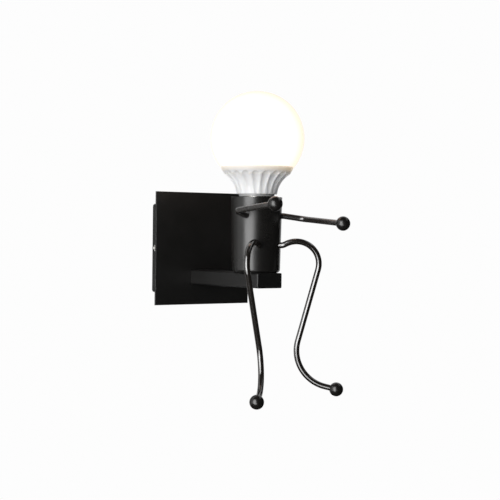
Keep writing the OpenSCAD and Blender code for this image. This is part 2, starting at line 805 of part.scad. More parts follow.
// The outside of the base with its first flutes cut, one after the other
module fluted_base(count) {
    if (count == 0) {
        rotate_extrude() flare_half(flare_top_r, flare_h + band_lip, 0);
        translate([0, 0, flare_h]) cylinder(d1 = band_bottom_d, d2 = base_top_d, h = band_h);
        translate([0, 0, -collar_h]) cylinder(d = collar_d, h = collar_h + collar_lap);
    } else {
        difference() {
            fluted_base(count - 1);
            rotate([0, 0, flute_start + 360 * count / flute_count]) flute();
        }
    }
}

module bulb_housing() {
    color(white_plastic) translate([0, cup_y, neck_z]) difference() {
        fluted_base(flute_count);
        translate([0, 0, base_h - board_drop]) cylinder(r = board_r + fit_gap, h = board_drop + cut);
        rotate_extrude() flare_half(board_r - board_ledge, base_h, flute_depth + base_wall);
        translate([0, 0, -collar_h - cut]) cylinder(r = driver_bore_r, h = collar_h + 2 * cut);
    }
}

collar_lap = 1;
board_drop = 2;
board_t = 1.6;
board_inset = 3;
bore_inset = 3;
board_ledge = 2;
board_r = globe_seat_r - globe_wall - board_inset;
driver_bore_r = neck_d / 2 - flute_depth - base_wall - bore_inset;
module led_board() {
    color(white_plastic) round_piece(base_top_z - board_drop, board_t, 2 * board_r);
}

chip_ring = [8, 17];
chip_side = 3;
chip_t = 0.8;
module led_chips() {
    color([0.95, 0.85, 0.4]) translate([0, cup_y, base_top_z - board_drop + board_t])
        for (ring = [0, 1], i = [0:6 * ring + 5]) rotate([0, 0, 360 * i / (6 * ring + 6)])
            translate([chip_ring[ring] - chip_side / 2, -chip_side / 2, 0])
                cube([chip_side, chip_side, chip_t]);
}

cap_collar_len = 2.5;
cap_wall = 1.05;
cap_bore_r = thread_core_r - cap_wall;
cap_end_inset = 1;
cap_end_r = cap_bore_r - cap_end_inset;
cap_taper = 2;
cap_end_wall = 0.8;
module bulb_cap() {
    z1 = collar_z - cap_collar_len;
    z0 = cap_z + cap_taper;
    rings = concat(
        [plain_ring(cap_end_r, cap_z)],
        [for (z = thread_levels(z0, z1)) cap_ring(z, z0, z1)],
        [plain_ring(thread_core_r, collar_z), plain_ring(cap_bore_r, collar_z)],
        [plain_ring(cap_bore_r, z0), plain_ring(cap_end_r - cap_end_wall, cap_z)]
    );
    color(bright_steel) translate([0, cup_y, 0]) skin(rings, loop = true);
}

insulator_taper = 4;
insulator_end_r = cap_end_r - insulator_taper;
module bulb_insulator() {
    color(rubber_black) translate([0, cup_y, cap_z - insulator_h])
        cylinder(r1 = insulator_end_r, r2 = cap_end_r, h = insulator_h);
}

bulb_contact_d = 9;
module bulb_contact() {
    color(zinc) round_piece(contact_z, contact_h, bulb_contact_d);
}

driver_w = 14;
driver_t = 1.6;
driver_part_d = 8;
driver_part_h = 12;
driver_drop = 12;
driver_part_z = 3;
driver_part_sink = 0.5;
module driver_board() {
    z0 = collar_z - driver_drop;
    color([0.25, 0.45, 0.3]) translate([0, cup_y, z0]) {
        translate([-driver_w / 2, -driver_t / 2, 0]) cube([driver_w, driver_t, base_top_z - board_drop - z0]);
        translate([0, driver_t / 2 + driver_part_d / 2 - driver_part_sink, driver_part_z])
            cylinder(d = driver_part_d, h = driver_part_h);
    }
}

// Limbs
module left_arm() { limb_rod(-1, arm_azimuth, arm_height, 0, arm_steps(-1, left_arm_rise)); }
module right_arm() { limb_rod(1, arm_azimuth, arm_height, 0, arm_steps(1, right_arm_rise)); }
module left_leg() { limb_rod(-1, leg_azimuth, leg_height, left_leg_swing, leg_steps(-1)); }
module right_leg() { limb_rod(1, leg_azimuth, leg_height, right_leg_swing, leg_steps(1)); }
module left_hand() { limb_ball(-1, arm_azimuth, arm_height, 0, arm_steps(-1, left_arm_rise)); }
module right_hand() { limb_ball(1, arm_azimuth, arm_height, 0, arm_steps(1, right_arm_rise)); }
module left_foot() { limb_ball(-1, leg_azimuth, leg_height, left_leg_swing, leg_steps(-1)); }
module right_foot() { limb_ball(1, leg_azimuth, leg_height, right_leg_swing, leg_steps(1)); }
module left_arm_clip() { limb_clip(-1, arm_azimuth, arm_height, 0); }
module right_arm_clip() { limb_clip(1, arm_azimuth, arm_height, 0); }
module left_leg_clip() { limb_clip(-1, leg_azimuth, leg_height, left_leg_swing); }
module right_leg_clip() { limb_clip(1, leg_azimuth, leg_height, right_leg_swing); }

// Wiring
block_screw_d = 3;
block_screw_h = 2;
block_slot_w = 0.6;
block_slot_h = 0.6;
module terminal_block() {
    color(white_plastic) difference() {
        translate([-block_w / 2, box_inside_y, block_rise - block_h / 2]) cube([block_w, block_t, block_h]);
        for (way = [-1:1]) {
            translate([way * way_pitch, box_inside_y + block_t / 2, block_rise - block_h / 2 - cut])
                cylinder(d = wire_d + 2 * fit_gap, h = block_h + 2 * cut);
            for (end = [-1, 1])
                rod_y(way * way_pitch, box_inside_y + block_t + cut, block_rise + end * block_h / 4,
                    block_screw_d + 2 * fit_gap, block_t / 2 - wire_d / 2);
        }
    }
}

module terminal_screws() {
    color(brass) for (way = [-1:1], end = [-1, 1])
        translate([way * way_pitch, box_inside_y + block_t, block_rise + end * block_h / 4])
            rotate([90, 0, 0]) difference() {
                cylinder(d = block_screw_d, h = block_screw_h);
                translate([-block_screw_d, -block_slot_w / 2, -cut])
                    cube([2 * block_screw_d, block_slot_w, block_slot_h + cut]);
            }
}

// The wires start in the terminal block, run down the box, along the bar, up the nipple and end at the holder
wire_offset = 1.25;
wire_bend = 3;
wire_turn_z = -4;
wire_lean = 2;
wire_floor_gap = 0.3;
wire_floor_z = -bar_drop - bar_inner_h / 2 + wire_d / 2 + wire_floor_gap;
wire_dip_start = 4;
wire_dip_end = 14;
wire_spread_start = 2;
wire_spread_end = 9;
module lamp_wire(side) {
    start_y = box_inside_y + block_t / 2;
    wire([
        [side * way_pitch, start_y, block_rise - block_h / 4],
        [side * way_pitch, start_y, wire_turn_z],
        [side * wire_offset, start_y + wire_lean, -bar_drop],
        [side * wire_offset, plate_front_y, -bar_drop],
        [side * wire_offset, plate_front_y - anchor_len - wire_dip_start, -bar_drop],
        [side * wire_offset, plate_front_y - anchor_len - wire_dip_end, wire_floor_z],
        [side * wire_offset, cup_y, wire_floor_z],
        [side * wire_offset, cup_y, holder_z + holder_floor + wire_spread_start],
        [side * terminal_r, cup_y, holder_z + holder_floor + wire_spread_end],
        [side * terminal_r, cup_y, holder_body_z - terminal_head_h]
    ], wire_bend);
}

module live_wire() { color([0.45, 0.25, 0.12]) lamp_wire(-1); }
module neutral_wire() { color([0.2, 0.35, 0.7]) lamp_wire(1); }
earth_turn_z = 5;
earth_run = 4;
module earth_wire() {
    start_y = box_inside_y + block_t / 2;
    color([0.3, 0.6, 0.2]) wire([
        [0, start_y, block_rise - block_h / 4],
        [0, start_y, earth_turn_z],
        [0, -bracket_t - screw_head_h - earth_run, 0],
        [0, -bracket_t - screw_head_h, 0]
    ], wire_bend);
}

wall_bracket();
back_box();
front_plate();
side_screws();
earth_screw();
cable_grommet();
support_bar();
bar_anchor();
bar_screws();
bar_end_cap();
lamp_cup();
cup_nipple();
nipple_nuts();
cup_washer();
holder_cap();
holder_body();
screw_shell();
centre_contact();
holder_terminals();
bulb_globe();
bulb_housing();
bulb_cap();
bulb_insulator();
bulb_contact();
led_board();
led_chips();
driver_board();
left_arm();
right_arm();
left_leg();
right_leg();
left_hand();
right_hand();
left_foot();
right_foot();
left_arm_clip();
right_arm_clip();
left_leg_clip();
right_leg_clip();
terminal_block();
terminal_screws();
live_wire();
neutral_wire();
earth_wire();
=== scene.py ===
import json
import math

import bmesh
import bpy
from mathutils import Matrix, Vector

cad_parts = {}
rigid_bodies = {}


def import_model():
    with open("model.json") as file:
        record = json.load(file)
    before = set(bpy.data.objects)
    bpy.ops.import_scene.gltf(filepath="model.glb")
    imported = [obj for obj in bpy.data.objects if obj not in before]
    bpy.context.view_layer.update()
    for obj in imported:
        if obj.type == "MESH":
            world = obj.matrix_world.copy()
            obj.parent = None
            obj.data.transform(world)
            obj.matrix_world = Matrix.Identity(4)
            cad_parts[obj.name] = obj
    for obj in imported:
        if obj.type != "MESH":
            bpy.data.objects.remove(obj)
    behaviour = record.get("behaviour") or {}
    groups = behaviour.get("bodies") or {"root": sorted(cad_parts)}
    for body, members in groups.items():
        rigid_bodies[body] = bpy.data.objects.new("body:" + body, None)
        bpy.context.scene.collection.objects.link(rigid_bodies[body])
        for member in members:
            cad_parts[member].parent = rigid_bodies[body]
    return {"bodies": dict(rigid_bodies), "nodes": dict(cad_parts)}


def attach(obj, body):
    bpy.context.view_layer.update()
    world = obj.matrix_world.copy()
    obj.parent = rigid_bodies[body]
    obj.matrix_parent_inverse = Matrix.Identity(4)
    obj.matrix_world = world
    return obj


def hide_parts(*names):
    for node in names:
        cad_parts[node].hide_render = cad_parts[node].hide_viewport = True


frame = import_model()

NODES = frame["nodes"]
kept = set(NODES.values()) | set(frame["bodies"].values())
for leftover in [o for o in bpy.data.objects if o not in kept]:
    bpy.data.objects.remove(leftover, do_unlink=True)
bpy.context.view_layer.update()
MM = 0.001
MICRON = 0.000001

# The cup's axis in mm, and heights on the lamp in metres, that the looks and the made pieces follow
AXIS_Y = -102.5
CUP_Y = AXIS_Y * MM
SHELL_Z = 16.85 * MM
CAP_Z = 23.45 * MM
SHELL_TOP_Z = 41.85 * MM
COLLAR_Z = 45.45 * MM
NECK_Z = 47.45 * MM
BAND_Z = 64.45 * MM
BASE_TOP_Z = 70.95 * MM

# Noise values lie mostly between these two
NOISE_LOW = 0.3
NOISE_HIGH = 0.7

# Sockets of the colour mix node
MIX_FIRST = 6
MIX_SECOND = 7
MIX_RESULT = 2


# Node helpers
def put(tree, kind, **settings):
    made = tree.nodes.new(kind)
    for key, value in settings.items():
        setattr(made, key, value)
    return made


def look(name, **sockets):
    material = bpy.data.materials.new(name)
    material.use_nodes = True
    shader = material.node_tree.nodes["Principled BSDF"]
    for key, value in sockets.items():
        shader.inputs[key.replace("_", " ")].default_value = value
    return material, material.node_tree, shader


def feed(shader, socket, source):
    shader.id_data.links.new(source, shader.inputs[socket])


def place(tree):
    found = [n for n in tree.nodes if n.bl_idname == "ShaderNodeTexCoord"]
    return (found[0] if found else put(tree, "ShaderNodeTexCoord")).outputs["Object"]


def axis(tree, index):
    split = put(tree, "ShaderNodeSeparateXYZ")
    tree.links.new(place(tree), split.inputs[0])
    return split.outputs[index]


def noise(tree, scale, detail=3.0, stretch=None):
    made = put(tree, "ShaderNodeTexNoise")
    made.inputs["Scale"].default_value = scale
    made.inputs["Detail"].default_value = detail
    source = place(tree)
    if stretch:
        mapping = put(tree, "ShaderNodeMapping")
        mapping.inputs["Scale"].default_value = stretch
        tree.links.new(source, mapping.inputs["Vector"])
        source = mapping.outputs[0]
    tree.links.new(source, made.inputs["Vector"])
    return made.outputs[0]


def cells(tree, scale):
    made = put(tree, "ShaderNodeTexVoronoi")
    made.inputs["Scale"].default_value = scale
    tree.links.new(place(tree), made.inputs["Vector"])
    return made.outputs["Color"]


def shades(tree, value, *stops):
    ramp = put(tree, "ShaderNodeValToRGB")
    band = ramp.color_ramp
    while len(band.elements) < len(stops):
        band.elements.new(0.5)
    for element, (spot, colour) in zip(band.elements, stops):
        element.position = spot
        element.color = (*colour, 1.0)
    tree.links.new(value, ramp.inputs[0])
    return ramp.outputs[0]


def mottle(tree, value, dark, light):
    return shades(tree, value, (NOISE_LOW, dark), (NOISE_HIGH, light))


def span(tree, value, low, high, start=NOISE_LOW, stop=NOISE_HIGH, smooth=False):
    made = put(tree, "ShaderNodeMapRange")
    made.interpolation_type = "SMOOTHSTEP" if smooth else "LINEAR"
    for index, number in enumerate((start, stop, low, high)):
        made.inputs[index + 1].default_value = number
    tree.links.new(value, made.inputs[0])
    return made.outputs[0]


def blend(tree, factor, first, second):
    made = put(tree, "ShaderNodeMix", data_type="RGBA")
    tree.links.new(factor, made.inputs["Factor"])
    tree.links.new(first, made.inputs[MIX_FIRST])
    tree.links.new(second, made.inputs[MIX_SECOND])
    return made.outputs[MIX_RESULT]


def combine(tree, operation, first, second):
    made = put(tree, "ShaderNodeMath", operation=operation)
    tree.links.new(first, made.inputs[0])
    tree.links.new(second, made.inputs[1])
    return made.outputs[0]


def relief(tree, shader, height, depth, edge=0.0):
    bump = put(tree, "ShaderNodeBump")
    bump.inputs["Distance"].default_value = depth
    tree.links.new(height, bump.inputs["Height"])
    if edge:
        rounding = put(tree, "ShaderNodeBevel", samples=6)
        rounding.inputs["Radius"].default_value = edge
        tree.links.new(rounding.outputs[0], bump.inputs["Normal"])
    feed(shader, "Normal", bump.outputs[0])


def tint(tone, factor):
    return tuple(c * factor for c in tone)


# Materials
def black_coat(name, tone, rough, peel=0.0, edge=0.0, **sockets):
    material, tree, shader = look(name, **sockets)
    fine = noise(tree, scale=1500.0, detail=2.0)
    wide = noise(tree, scale=45.0, detail=4.0)
    feed(shader, "Base Color", mottle(tree, fine, tint(tone, 0.7), tint(tone, 1.4)))
    feed(shader, "Roughness", span(tree, wide, rough - 0.04, rough + 0.05))
    if peel:
        relief(tree, shader, fine, peel, edge)
    return material


def plated(name, dark, light, rough):
    material, tree, shader = look(name, Metallic=1.0)
    wide = noise(tree, scale=160.0, detail=5.0)
    lines = noise(tree, scale=420.0, stretch=(1.0, 1.0, 9.0))
    feed(shader, "Base Color", mottle(tree, wide, dark, light))
    feed(shader, "Roughness", span(tree, lines, rough - 0.07, rough + 0.1))
    relief(tree, shader, lines, depth=20 * MICRON, edge=0.2 * MM)
    return material


def galvanised(name, dark, light):
    material, tree, shader = look(name, Metallic=1.0)
    flakes = cells(tree, scale=260.0)
    feed(shader, "Base Color", shades(tree, flakes, (0.0, dark), (1.0, light)))
    feed(shader, "Roughness", span(tree, flakes, 0.3, 0.5, start=0.0, stop=1.0))
    relief(tree, shader, noise(tree, scale=900.0), depth=30 * MICRON, edge=0.3 * MM)
    return material


def moulded(name, dark, light, rough, grain=700.0, depth=30 * MICRON, edge=0.3 * MM, **sockets):
    material, tree, shader = look(name, **sockets)
    fine = noise(tree, scale=grain)
    wide = noise(tree, scale=60.0, detail=4.0)
    feed(shader, "Base Color", mottle(tree, wide, dark, light))
    feed(shader, "Roughness", span(tree, fine, rough - 0.05, rough + 0.06))
    relief(tree, shader, fine, depth, edge)
    return material


# Painted glow in the band under the lit globe, emission standing in for the globe's light shining through
# it: share of the way up, and colour
PAINTED_BAND_GLOW = (
    (0.0, (0.0, 0.0, 0.0)),
    (0.34, (0.12, 0.09, 0.045)),
    (0.54, (0.23, 0.16, 0.07)),
    (0.75, (0.36, 0.26, 0.12)),
    (0.94, (0.52, 0.42, 0.27)),
    (1.0, (0.75, 0.67, 0.50)),
)


def bulb_base(name):
    material, tree, shader = look(name, Subsurface_Weight=0.12, Subsurface_Scale=2.0 * MM,
                                  Subsurface_Radius=(1.0, 0.8, 0.6), Emission_Strength=1.0)
    height = axis(tree, 2)
    on_band = span(tree, height, 0.0, 1.0, BAND_Z - 0.5 * MM, BAND_Z + 2.0 * MM, smooth=True)
    on_collar = span(tree, height, 1.0, 0.0, NECK_Z - 0.1 * MM, NECK_Z + 0.1 * MM)
    wide = noise(tree, scale=70.0, detail=4.0)
    mixed = noise(tree, scale=300.0, detail=4.0)
    body = mottle(tree, wide, (0.775, 0.775, 0.775), (0.815, 0.815, 0.815))
    # The band's base colour is darker and greyer, with the painted glow added over it
    lip = mottle(tree, wide, (0.50, 0.54, 0.60), (0.53, 0.57, 0.63))
    collar = mottle(tree, mixed, (0.41, 0.41, 0.405), (0.47, 0.47, 0.465))
    feed(shader, "Base Color", blend(tree, on_collar, blend(tree, on_band, body, lip), collar))
    feed(shader, "Roughness", span(tree, noise(tree, scale=500.0), 0.32, 0.42))
    # Painted glow: emission rising up the band towards the globe
    rise = span(tree, height, 0.0, 1.0, BAND_Z - 1.5 * MM, BASE_TOP_Z)
    feed(shader, "Emission Color", shades(tree, rise, *PAINTED_BAND_GLOW))
    relief(tree, shader, noise(tree, scale=1100.0), depth=20 * MICRON, edge=0.3 * MM)
    return material


# The tinted coat dims blue and green a little where it is seen slantwise, as a thin warm outline
def diffuser(name):
    material, tree, shader = look(name, Roughness=0.25, Specular_IOR_Level=0.0, Coat_Weight=1.0,
                                  Coat_Roughness=0.05, Coat_IOR=1.1, Coat_Tint=(0.75, 0.66, 0.66, 1.0),
                                  Emission_Strength=2.7)
    wide = noise(tree, scale=30.0)
    feed(shader, "Base Color", mottle(tree, wide, (0.78, 0.77, 0.74), (0.82, 0.81, 0.78)))
    feed(shader, "Emission Color", mottle(tree, wide, (1.0, 0.79, 0.61), (1.0, 0.80, 0.62)))
    relief(tree, shader, noise(tree, scale=800.0), depth=10 * MICRON)
    return material


# Squared distance from the wire's middle plane at which a stripe starts to fade and ends
STRIPE_FADE = 1.2e-7
STRIPE_END = 1.8e-7


def insulation(name, dark, light, stripe=None):
    material, tree, shader = look(name, Specular_IOR_Level=0.4)
    fine = noise(tree, scale=900.0)
    colour = mottle(tree, fine, dark, light)
    if stripe:
        across = combine(tree, "MULTIPLY", axis(tree, 0), axis(tree, 0))
        mark = span(tree, across, 1.0, 0.0, STRIPE_FADE, STRIPE_END)
        colour = blend(tree, mark, colour, mottle(tree, fine, tint(stripe, 0.85), stripe))
    feed(shader, "Base Color", colour)
    feed(shader, "Roughness", span(tree, fine, 0.38, 0.5))
    relief(tree, shader, fine, depth=20 * MICRON)
    return material


def circuit(name, mask, track, scale):
    material, tree, shader = look(name, Specular_IOR_Level=0.5)
    tracks = put(tree, "ShaderNodeTexBrick")
    tracks.inputs["Scale"].default_value = scale
    tracks.inputs["Mortar Size"].default_value = 0.06
    tree.links.new(place(tree), tracks.inputs["Vector"])
    fine = noise(tree, scale=600.0)
    field = mottle(tree, fine, tint(mask, 0.9), mask)
    lines = mottle(tree, fine, tint(track, 0.9), track)
    feed(shader, "Base Color", blend(tree, tracks.outputs["Fac"], field, lines))
    feed(shader, "Roughness", span(tree, fine, 0.3, 0.42))
    relief(tree, shader, tracks.outputs["Fac"], depth=40 * MICRON, edge=0.2 * MM)
    return material


ROD_TONE = (0.013, 0.0108, 0.009)
COAT = black_coat("powder_black", (0.0075, 0.0074, 0.0070), rough=0.36, peel=30 * MICRON, edge=0.5 * MM,
                  Specular_IOR_Level=0.5)
CUP_COAT = black_coat("cup_black", (0.010, 0.0095, 0.0088), rough=0.30, peel=10 * MICRON, edge=0.4 * MM,
                      Specular_IOR_Level=0.5)
ROD_COAT = black_coat("rod_black", ROD_TONE, rough=0.16, IOR=1.65, Specular_IOR_Level=1.0)
ARM_COAT = black_coat("arm_black", ROD_TONE, rough=0.28, IOR=1.65, Specular_IOR_Level=1.0)
BALL_COAT = black_coat("ball_black", (0.009, 0.0082, 0.0075), rough=0.25, Specular_IOR_Level=0.5)
ZINC = plated("zinc_plate", (0.50, 0.51, 0.52), (0.66, 0.66, 0.64), rough=0.34)
NICKEL = plated("nickel", (0.62, 0.61, 0.58), (0.76, 0.75, 0.72), rough=0.24)
BRASS = plated("brass_metal", (0.58, 0.39, 0.15), (0.76, 0.56, 0.26), rough=0.30)
SPANGLE = galvanised("galvanised_sheet", (0.40, 0.41, 0.43), (0.64, 0.65, 0.67))
CERAMIC = moulded("steatite", (0.76, 0.74, 0.69), (0.84, 0.83, 0.79), rough=0.28, grain=500.0,
                  Coat_Weight=0.3)
NYLON = moulded("nylon", (0.74, 0.72, 0.65), (0.82, 0.80, 0.74), rough=0.42, Subsurface_Weight=0.1,
                Subsurface_Scale=2.0 * MM)
RUBBER = moulded("rubber_grain", (0.014, 0.014, 0.014), (0.024, 0.023, 0.022), rough=0.72, grain=900.0,
                 depth=60 * MICRON)
GLASS_BLACK = moulded("black_glass", (0.008, 0.008, 0.009), (0.014, 0.013, 0.015), rough=0.12, grain=200.0,
                      depth=10 * MICRON)
PHOSPHOR = moulded("phosphor_gel", (0.78, 0.55, 0.10), (0.88, 0.68, 0.18), rough=0.45, grain=1500.0,
                   depth=20 * MICRON, edge=0.2 * MM)
BOARD_WHITE = circuit("board_white", (0.84, 0.84, 0.82), (0.72, 0.70, 0.64), scale=90.0)
BOARD_GREEN = circuit("board_green", (0.03, 0.16, 0.07), (0.06, 0.26, 0.11), scale=140.0)
BROWN = insulation("pvc_brown", (0.13, 0.05, 0.022), (0.18, 0.075, 0.035))
BLUE = insulation("pvc_blue", (0.02, 0.07, 0.32), (0.03, 0.11, 0.42))
EARTH = insulation("pvc_earth", (0.03, 0.22, 0.03), (0.05, 0.30, 0.05), stripe=(0.75, 0.62, 0.04))
BASE_WHITE = bulb_base("bulb_base_white")
DIFFUSER = diffuser("bulb_diffuser")

WEAR = {
    COAT: ("front_plate", "back_box", "support_bar", "bar_end_cap"),
    CUP_COAT: ("lamp_cup",),
    ROD_COAT: ("left_leg", "right_leg"),
    ARM_COAT: ("left_arm", "right_arm"),
    BALL_COAT: ("left_hand", "right_hand", "left_foot", "right_foot"),
    ZINC: ("bar_anchor", "bar_screws", "cup_nipple", "nipple_nuts", "cup_washer", "bulb_contact",
           "left_arm_clip", "right_arm_clip", "left_leg_clip", "right_leg_clip"),
    NICKEL: ("side_screws", "bulb_cap"),
    BRASS: ("earth_screw", "screw_shell", "centre_contact", "holder_terminals", "terminal_screws"),
    SPANGLE: ("wall_bracket",),
    CERAMIC: ("holder_cap", "holder_body"),
    NYLON: ("terminal_block",),
    RUBBER: ("cable_grommet",),
    GLASS_BLACK: ("bulb_insulator",),
    PHOSPHOR: ("led_chips",),
    BOARD_WHITE: ("led_board",),
    BOARD_GREEN: ("driver_board",),
    BROWN: ("live_wire",),
    BLUE: ("neutral_wire",),
    EARTH: ("earth_wire",),
    BASE_WHITE: ("bulb_housing",),
    DIFFUSER: ("bulb_globe",),
}
for material, names in WEAR.items():
    for name in names:
        NODES[name].data.materials.clear()
        NODES[name].data.materials.append(material)

# Pieces made here: finer threads and round wires in place of their coarse solids
SPLIT_ANGLE = math.radians(38)


def piece(name, rings, material, closed):
    mesh = bmesh.new()
    rows = [[mesh.verts.new(point) for point in ring] for ring in rings]
    pairs = list(zip(rows, rows[1:]))
    if closed:
        pairs.append((rows[-1], rows[0]))
    for low, high in pairs:
        for k in range(len(low)):
            n = (k + 1) % len(low)
            mesh.faces.new((low[k], low[n], high[n], high[k]))
    if not closed:
        mesh.faces.new(list(reversed(rows[0])))
        mesh.faces.new(rows[-1])
    bmesh.ops.recalc_face_normals(mesh, faces=mesh.faces)
    data = bpy.data.meshes.new(name)
    mesh.to_mesh(data)
    mesh.free()
    for polygon in data.polygons:
        polygon.use_smooth = True
    data.materials.append(material)
    made = bpy.data.objects.new(name, data)
    bpy.context.scene.collection.objects.link(made)
    split = made.modifiers.new("edges", "EDGE_SPLIT")
    split.split_angle = SPLIT_ANGLE
    return made


def turns(sides):
    return [2 * math.pi * k / sides for k in range(sides)]


# The bulb's thread and the shell's thread
THREAD_SIDES = 96
LEVELS_A_TURN = 14
PITCH = 3.62 * MM
THREAD_DEPTH = 1.05 * MM
THREAD_FADE = 0.6 * PITCH
THREAD_START = 2.0 * MM
THREAD_STOP = 2.5 * MM
CORE_R = 12.05 * MM
CAP_BORE_R = 11.0 * MM
TIP_R = 10.0 * MM
TIP_BORE_R = 9.2 * MM
SHOULDER_R = 11.4 * MM
SHOULDER_H = 0.8 * MM
SHELL_BORE_R = 13.45 * MM
SHELL_R = 14.4 * MM


def ring(radius, z):
    return [Vector((radius(a) * math.cos(a), CUP_Y + radius(a) * math.sin(a), z))
            for a in turns(THREAD_SIDES)]


def plain_ring(radius, z):
    return ring(lambda a: radius, z)


def wave(z, angle):
    return math.cos(2 * math.pi * (z - CAP_Z) / PITCH - angle)


def levels(low, high):
    count = math.ceil((high - low) / PITCH * LEVELS_A_TURN)
    return [low + (high - low) * i / count for i in range(count + 1)]


def swell(z, low, high):
    return max(0.0, min(1.0, (z - low) / THREAD_FADE, (high - z) / THREAD_FADE))


def cap_thread():
    low = CAP_Z + THREAD_START
    high = COLLAR_Z - THREAD_STOP
    rings = [plain_ring(TIP_R, CAP_Z), plain_ring(SHOULDER_R, CAP_Z + SHOULDER_H)]
    for z in levels(low, high):
        s = swell(z, low, high)
        rings.append(ring(lambda a: CORE_R + THREAD_DEPTH * s * (1 + wave(z, a)) / 2, z))
    rings.append(plain_ring(CORE_R, COLLAR_Z))
    rings.append(plain_ring(CAP_BORE_R, COLLAR_Z))
    rings.append(plain_ring(CAP_BORE_R, low))
    rings.append(plain_ring(TIP_BORE_R, CAP_Z))
    return piece("bulb_cap_thread", rings, NICKEL, True)


def shell_thread():
    rings = [plain_ring(SHELL_R, SHELL_TOP_Z)]
    for z in reversed(levels(SHELL_Z, SHELL_TOP_Z)):
        s = swell(z, SHELL_Z, SHELL_TOP_Z)
        rings.append(ring(lambda a: SHELL_BORE_R - THREAD_DEPTH * s * (1 - wave(z, a)) / 2, z))
    rings.append(plain_ring(SHELL_R, SHELL_Z))
    return piece("screw_shell_thread", rings, BRASS, True)


# The wires, with their routes in mm
WIRE_R = 1.1 * MM
WIRE_SIDES = 20
WIRE_BEND = 3.0 * MM
BEND_STEPS = 8
BLOCK_Y = -13.8
BLOCK_Z = 16.0
POST_X = 9.0
BORE_X = 1.25
BAR_Z = -25.5
BAR_LOW_Z = -28.95


def route(corners):
    points = [corners[0]]
    for before, corner, after in zip(corners, corners[1:], corners[2:]):
        a = corner + (before - corner).normalized() * min(WIRE_BEND, (before - corner).length / 2)
        b = corner + (after - corner).normalized() * min(WIRE_BEND, (after - corner).length / 2)
        for step in range(BEND_STEPS + 1):
            t = step / BEND_STEPS
            points.append((1 - t) ** 2 * a + 2 * t * (1 - t) * corner + t * t * b)
    return points + [corners[-1]]


def wire(name, corners, material):
    path = route([Vector(c) * MM for c in corners])
    normal = Vector((1.0, 0.0, 0.0))
    rings = []
    for i, point in enumerate(path):
        along = (path[min(i + 1, len(path) - 1)] - path[max(i - 1, 0)]).normalized()
        normal = (normal - normal.dot(along) * along).normalized()
        other = along.cross(normal)
        rings.append([point + WIRE_R * (math.cos(a) * normal + math.sin(a) * other)
                      for a in turns(WIRE_SIDES)])
    return piece(name, rings, material, False)


# From the terminal block through the bar and up the nipple to the holder
def lamp_wire(side):
    post = side * POST_X
    bore = side * BORE_X
    return [
        (post, BLOCK_Y, BLOCK_Z),
        (post, BLOCK_Y, -4.0),
        (bore, -11.8, BAR_Z),
        (bore, -22.5, BAR_Z),
        (bore, -40.5, BAR_Z),
        (bore, -50.5, BAR_LOW_Z),
        (bore, AXIS_Y, BAR_LOW_Z),
        (bore, AXIS_Y, 0.85),
        (post, AXIS_Y, 7.85),
        (post, AXIS_Y, 8.85),
    ]


EARTH_ROUTE = [(0.0, BLOCK_Y, BLOCK_Z), (0.0, BLOCK_Y, 5.0), (0.0, -7.9, 0.0), (0.0, -3.9, 0.0)]
made_pieces = [
    (cap_thread(), "bulb_base", "bulb_cap", "cap_metal"),
    (shell_thread(), "base", "screw_shell", "brass"),
    (wire("live_wire_tube", lamp_wire(-1), BROWN), "base", "live_wire", "wire_brown"),
    (wire("neutral_wire_tube", lamp_wire(1), BLUE), "base", "neutral_wire", "wire_blue"),
    (wire("earth_wire_tube", EARTH_ROUTE, EARTH), "base", "earth_wire", "wire_green"),
]
for made, body, stands_for, slot in made_pieces:
    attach(made, body)
    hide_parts(stands_for)

# Stage, light and camera, in metres and degrees
TARGET = Vector((0.0, CUP_Y, -0.08 * MM))
PAPER_WHITE = (0.982, 0.982, 0.982, 1.0)
SKY_TINT = (0.98, 0.99, 1.0, 1.0)
SKY_LEVEL = 0.3
FLOOR_SIZE = 14.0
FLOOR_Z = -1.1
FLAG_R = 0.95
FLAG_LOW = -0.75
FLAG_HIGH = 0.75
FLAG_CUTS = 24
MAT_SIZE = 3.4
ROOF_SIZE = 2.2
ROOF_AT = (-0.5, CUP_Y - 0.65, 1.0)

# Share of plain paper in the floor, and how far from the lamp's foot it starts and stops growing
PAPER_NEAR = 0.55
PAPER_FAR = 1.0
SHADOW_IN = 0.25
SHADOW_OUT = 1.1


def around(azimuth, elevation, distance):
    a = math.radians(azimuth)
    e = math.radians(elevation)
    return TARGET + distance * Vector((math.sin(a) * math.cos(e), -math.cos(a) * math.cos(e), math.sin(e)))


def aim(obj, spot, target, roll=0.0):
    back = (spot - target).normalized()
    right = Vector((0.0, 0.0, 1.0)).cross(back).normalized()
    up = back.cross(right)
    turned = right * math.cos(roll) + up * math.sin(roll)
    above = up * math.cos(roll) - right * math.sin(roll)
    obj.matrix_world = Matrix((
        (turned.x, above.x, back.x, spot.x),
        (turned.y, above.y, back.y, spot.y),
        (turned.z, above.z, back.z, spot.z),
        (0.0, 0.0, 0.0, 1.0),
    ))


def sheet(name, size, material, location=(0.0, 0.0, 0.0), cuts=4):
    mesh = bmesh.new()
    bmesh.ops.create_grid(mesh, x_segments=cuts, y_segments=cuts, size=0.5)
    bmesh.ops.scale(mesh, vec=(size, size, 1.0), verts=mesh.verts)
    data = bpy.data.meshes.new(name)
    mesh.to_mesh(data)
    mesh.free()
    data.materials.append(material)
    made = bpy.data.objects.new(name, data)
    made.location = location
    bpy.context.scene.collection.objects.link(made)
    return made


def seen_by_eye(tree):
    path = put(tree, "ShaderNodeLightPath")
    two = combine(tree, "MAXIMUM", path.outputs["Is Camera Ray"], path.outputs["Is Glossy Ray"])
    return combine(tree, "MAXIMUM", two, path.outputs["Is Transmission Ray"])


